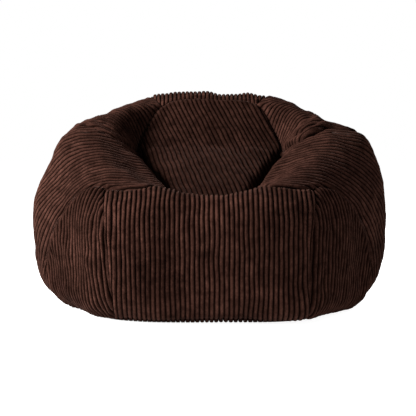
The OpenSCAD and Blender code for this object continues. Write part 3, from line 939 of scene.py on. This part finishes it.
def nylon_material():
    """Dark brown nylon, a little glossy, with faint streaks."""
    material, nodes, links, shader = new_material("zip_nylon")
    coords = nodes.new("ShaderNodeTexCoord").outputs["Object"]
    streaks = noise_node(nodes, links, coords, 500.0, 2.0)
    tones = [(0.3, (0.022, 0.012, 0.009)), (0.7, (0.045, 0.026, 0.020))]
    links.new(ramp_node(nodes, links, streaks, tones), shader.inputs["Base Color"])
    shader.inputs["Roughness"].default_value = 0.34
    links.new(bump_node(nodes, links, streaks, 0.2, 0.0001), shader.inputs["Normal"])
    return material


def sheet_piece(name, p, material, node, thickness):
    """A thin sheet of cloth through a table of points, which stands for a CAD node."""
    piece = mesh_object(name, p.reshape(-1, 3), grid_faces(*p.shape[:2], False), material)
    thicken(piece, thickness, 0)
    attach(piece, "bag")
    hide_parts(node)


def tube(path, radius, sides=6):
    """Points and faces of a round tube along a path, open at its ends."""
    ahead = unit(np.gradient(path, axis=0))
    across = unit(np.cross(ahead, (0.31, 0.17, 0.93)))
    third = np.cross(ahead, across)
    turn = np.linspace(0, 2 * np.pi, sides, endpoint=False)
    ring = across[:, None] * np.cos(turn)[:, None] + third[:, None] * np.sin(turn)[:, None]
    points = path[:, None] + radius * ring
    i, j = np.meshgrid(np.arange(len(path) - 1), np.arange(sides), indexing="ij")
    a, b = (i * sides + j).ravel(), (i * sides + (j + 1) % sides).ravel()
    return points.reshape(-1, 3), np.stack([a, b, b + sides, a + sides], -1)


# The zip has its own axes: x along it, y out of the bag and z up the wall.
ZIP_HALF = 0.150
TAPE_HALF = 0.164
TAPE_IN, TAPE_OUT = 0.0006, 0.0146
TAPE_Y = -0.010
COIL_Y = -0.00765
SLIDER_X = 0.138
PLATE_Y = -0.0060
PLATE = 0.0012
PIN_Y = -0.0033
PULL_L = 0.030

zip_middle = skin(90, ZIP_T)
zip_up = unit(skin(90, ZIP_T + 0.05) - skin(90, ZIP_T - 0.05))
zip_out = np.array([0, zip_up[2], -zip_up[1]])


def at_zip(x, y, z):
    x, y, z = np.broadcast_arrays(x, y, z)
    return zip_middle + x[..., None] * (1, 0, 0) + y[..., None] * zip_out + z[..., None] * zip_up


TAPE_CLOTH = cloth_material("zip_tape", (0.040, 0.022, 0.016), 900, 0.75)
NYLON = nylon_material()
METAL = metal_material()

x, z = np.meshgrid(np.linspace(-TAPE_HALF, TAPE_HALF, 165), np.linspace(TAPE_IN, TAPE_OUT, 15))
free = np.clip((z - 0.006) / 0.008, 0, 1)
for side, word in ((1, "upper"), (-1, "lower")):
    wave = 0.0003 * np.sin(x * 260 + side) + 0.0002 * np.sin(x * 97)
    y = TAPE_Y + 0.0005 + free * wave
    sheet_piece(
        f"zip_{word}_tape_cloth", at_zip(x, y, side * z), TAPE_CLOTH,
        f"zip_{word}_tape", 0.0008,
    )

    # a coil: one wire wound into flat loops, whose heads meet those of the other coil
    turns = 150
    turn = np.linspace(0, 2 * np.pi * turns, turns * 14 + 1)
    along = np.linspace(-ZIP_HALF, ZIP_HALF - 0.001, len(turn)) + (0.001 if side < 0 else 0)
    loop = side * (0.00190 + 0.00100 * np.cos(turn))
    points, faces = tube(at_zip(along, COIL_Y + 0.00085 * np.sin(turn), loop), 0.00038)
    wire = mesh_object(f"zip_{word}_coil_wire", points, faces, NYLON)
    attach(wire, "bag")
    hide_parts(f"zip_{word}_coil")

x, z = np.meshgrid(np.linspace(-0.161, 0.161, 83), np.linspace(-0.0158, 0.0158, 17))
guard_y = TAPE_Y - 0.0017 + 0.0002 * np.sin(x * 130) * np.cos(z * 150)
sheet_piece(
    "zip_guard_cloth", at_zip(x, guard_y, z), LINER, "zip_guard", 0.0005,
)


def solid(name, parts, body, node, bevel=0.00022):
    """Metal plates with rounded edges, each an outline (x, z) between two heights y."""
    points, faces = [], []
    for outline, y0, y1 in parts:
        count, first = len(outline), len(points)
        for y in (y0, y1):
            points += [tuple(at_zip(px, y, pz)) for px, pz in outline]
        faces.append([first + i for i in range(count)])
        faces.append([first + count + i for i in reversed(range(count))])
        for i in range(count):
            j = (i + 1) % count
            faces.append([first + j, first + i, first + count + i, first + count + j])
    mesh = bpy.data.meshes.new(name)
    mesh.from_pydata(points, [], faces)
    shape = bmesh.new()
    shape.from_mesh(mesh)
    bmesh.ops.recalc_face_normals(shape, faces=shape.faces)
    shape.to_mesh(mesh)
    shape.free()
    mesh.materials.append(METAL)
    piece = bpy.data.objects.new(name, mesh)
    bpy.context.scene.collection.objects.link(piece)
    edge = piece.modifiers.new("edge", "BEVEL")
    edge.width = bevel
    edge.segments = 3
    edge.limit_method = "ANGLE"
    smooth = piece.modifiers.new("smooth", "WEIGHTED_NORMAL")
    smooth.keep_sharp = True
    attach(piece, body)
    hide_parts(node)


def box(x0, x1, z0, z1):
    return [(x0, z0), (x1, z0), (x1, z1), (x0, z1)]


def pill(x0, x1, wide, nose, steps=7):
    """A plate's outline that is rounded at both ends, and narrower by nose at its start."""
    turn = np.linspace(-np.pi / 2, np.pi / 2, steps)
    right = [(x1 - wide * 0.5 + wide * 0.5 * math.cos(a), wide * math.sin(a)) for a in turn]
    thin = wide - nose
    left = [(x0 + thin * 0.5 - thin * 0.5 * math.cos(a), -thin * math.sin(a)) for a in turn]
    return right + left


left, right = SLIDER_X - 0.0065, SLIDER_X + 0.0065
bridge = PIN_Y + 0.0013
solid("zip_slider_body", [
    (pill(left, right, 0.0042, 0.0009), PLATE_Y, PLATE_Y + PLATE),
    (pill(left, right, 0.0042, 0.0009), TAPE_Y - 0.0010, TAPE_Y - 0.0002),
    (box(right - 0.005, right - 0.001, -0.0004, 0.0004), TAPE_Y - 0.001, PLATE_Y + PLATE),
    (box(SLIDER_X - 0.0046, SLIDER_X - 0.0034, -0.001, 0.001), PLATE_Y, bridge + 0.001),
    (box(SLIDER_X + 0.0034, SLIDER_X + 0.0046, -0.001, 0.001), PLATE_Y, bridge + 0.001),
    (box(SLIDER_X - 0.0046, SLIDER_X + 0.0046, -0.001, 0.001), bridge, bridge + 0.001),
], "slider", "zip_slider", 0.0002)

low, high = PIN_Y - 0.0007, PIN_Y + 0.0007
grip = SLIDER_X - PULL_L
solid("zip_pull_tab", [
    (pill(grip, SLIDER_X - 0.0078, 0.0035, 0.0006), low, high),
    (box(grip + 0.003, SLIDER_X - 0.012, -0.0017, 0.0017), low - 0.00025, high + 0.00025),
    (box(SLIDER_X - 0.0095, SLIDER_X + 0.0006, 0.0020, 0.0034), low, high),
    (box(SLIDER_X - 0.0095, SLIDER_X + 0.0006, -0.0034, -0.0020), low, high),
    (box(SLIDER_X - 0.0007, SLIDER_X + 0.0007, -0.0034, 0.0034), low, high),
], "pull", "zip_pull", 0.0003)

stops = []
for end in (-1, 1):
    x0 = end * (ZIP_HALF + 0.0023)
    stops.append((pill(x0 - 0.0015, x0 + 0.0015, 0.0034, 0), TAPE_Y + 0.00105, TAPE_Y + 0.0040))
solid("zip_end_stop_clamps", stops, "bag", "zip_end_stops", 0.0004)

# stitching around the slot, and along the top of the label
THREAD = cloth_material("thread", (0.080, 0.046, 0.034), 1500, 0.6)


def stitches(name, path, material, gap=0.0045, length=0.0032, radius=0.00042):
    """A row of short threads along a path, each sunk into the cloth at its ends."""
    along = lengths(path)
    points, faces = [], []
    for start in np.arange(0, along[-1] - length, gap):
        spot = start + length * np.linspace(0, 1, 5)
        thread = np.stack([np.interp(spot, along, path[:, c]) for c in range(3)], -1)
        thread = thread + zip_out * (0.0007 * np.sin(np.linspace(0, np.pi, 5)) - 0.0004)[:, None]
        ring, quads = tube(thread, radius)
        faces.append(quads + sum(len(r) for r in points))
        points.append(ring)
    piece = mesh_object(name, np.concatenate(points), np.concatenate(faces), material)
    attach(piece, "bag")


def on_cover(a, t, proud):
    """Points standing proud of the cover's slack skin, on the bag's right half."""
    p = skin(a, t)
    return p + outward_from(a, t) * (slack(p, 1) + proud)[..., None]


RIB_TOP = 0.4 * RIB_H
label_v, label_w = np.meshgrid(np.linspace(0, 1, 25), np.linspace(0, 1, 19), indexing="ij")
curl = 0.0020 + 0.0035 * (1 - label_v) ** 2 * (0.6 + 0.4 * np.sin(3 * label_w + 1))
LABEL_CLOTH = cloth_material("label_satin", (0.78, 0.75, 0.68), 1300, 0.45)
label = on_cover(58.6 + 4.3 * label_w, 1.26 + 0.36 * label_v, RIB_TOP + curl)
sheet_piece(
    "care_label_cloth", label, LABEL_CLOTH, "care_label", 0.0005,
)
stitches("label_stitches", label[-2, 1:-1] + zip_out * 0.0005, THREAD)

SLOT_EDGE_X, SLOT_EDGE_T = SLOT_HALF_L + 0.006, SLOT_HALF_T + 0.055
corner_turn = np.radians(np.linspace(0, 360, 241))
around_x = np.clip(1.6 * np.cos(corner_turn), -1, 1)
around_t = np.clip(1.6 * np.sin(corner_turn), -1, 1)
seam_a = 90 - np.degrees(np.arcsin(np.clip(np.abs(around_x) * SLOT_EDGE_X / zip_middle[1], 0, 0.9)))
seam = on_cover(seam_a, ZIP_T + SLOT_EDGE_T * around_t, RIB_TOP + 0.0001)
seam = seam * np.where(around_x < 0, -1, 1)[:, None] ** np.array([1, 2, 2])
stitches("zip_stitches", dense(seam, 0.0005), THREAD)

# the touch-and-close strips that shut the liner
strip_t = np.linspace(LINER_SPLIT - 0.1, LINER_SPLIT + 0.1, 9)
for kind, depth in (("hook", 0.0187), ("loop", 0.0199)):
    t, a = np.meshgrid(strip_t, np.linspace(76, 90, 41))
    p = skin(a, t)
    normal = table_normals(p)
    normal = normal if np.sum(normal[..., 1]) > 0 else -normal
    right, left = both_halves(p, normal, depth)
    strip = np.concatenate([right[:-1], left[::-1]])
    material = cloth_material(f"liner_{kind}", (0.66, 0.64, 0.60), 620 if kind == "hook" else 340)
    sheet_piece(
        f"liner_{kind}_strip", strip, material, f"liner_{kind}_tape", 0.0008,
    )

# ---- floor, light and camera ----

FLOOR_HALF = 12
FLOOR_GLOW = 0.93
FILL_LIGHT = 0.16
AIM = (0, 0, 0.25)
CAMERA_BACK = 3.0
CAMERA_H = 0.43
CAMERA_LENS = 107.2
CAMERA_DOWN = 3.81
CAMERA_TURN = 0.07

floor_material, nodes, links, shader = new_material("floor")
put(shader, {
    "Base Color": (0.5, 0.5, 0.5, 1), "Roughness": 0.7, "Specular IOR Level": 0.1,
    "Emission Color": (1, 1, 1, 1), "Emission Strength": FLOOR_GLOW,
})
floor_corners = [(x, y, 0) for x, y in box(-FLOOR_HALF, FLOOR_HALF, -FLOOR_HALF, FLOOR_HALF)]
floor = mesh_object("floor", floor_corners, [(0, 1, 2, 3)], floor_material)

# The camera sees the world as plain white, and its light is a weak fill.
world = bpy.data.worlds.new("studio")
world.use_nodes = True
nodes, links = world.node_tree.nodes, world.node_tree.links
backdrop = nodes["Background"]
backdrop.inputs["Color"].default_value = (1, 1, 1, 1)
fill = nodes.new("ShaderNodeBackground")
put(fill, {"Color": (1, 1, 1, 1), "Strength": FILL_LIGHT})
seen = nodes.new("ShaderNodeLightPath")
blend = nodes.new("ShaderNodeMixShader")
links.new(seen.outputs["Is Camera Ray"], blend.inputs["Fac"])
links.new(fill.outputs["Background"], blend.inputs[1])
links.new(backdrop.outputs["Background"], blend.inputs[2])
links.new(blend.outputs["Shader"], nodes["World Output"].inputs["Surface"])
bpy.context.scene.world = world
bpy.context.scene.view_settings.view_transform = "Standard"


def area_light(name, place, aim, size, power):
    light = bpy.data.lights.new(name, "AREA")
    light.shape = "DISK"
    light.size = size
    light.energy = power
    lamp = bpy.data.objects.new(name, light)
    lamp.location = place
    direction = np.subtract(aim, place)
    flat = math.hypot(direction[0], direction[1])
    lamp.rotation_euler = (
        math.atan2(flat, -direction[2]), 0, math.atan2(direction[1], direction[0]) - math.pi / 2,
    )
    bpy.context.scene.collection.objects.link(lamp)


area_light("key", (-2.75, -0.70, 1.7), AIM, 1.3, 420)
area_light("fill", (2.4, -2.0, 1.0), AIM, 2.0, 18)
area_light("back", (1.9, 2.9, 1.5), AIM, 2.4, 120)

camera_data = bpy.data.cameras.new("camera")
camera_data.sensor_width = 36
camera_data.lens = CAMERA_LENS
camera = bpy.data.objects.new("camera", camera_data)
camera.location = (0, -CAMERA_BACK, CAMERA_H)
camera.rotation_euler = (math.radians(90 - CAMERA_DOWN), 0, math.radians(CAMERA_TURN))
bpy.context.scene.collection.objects.link(camera)
bpy.context.scene.camera = camera
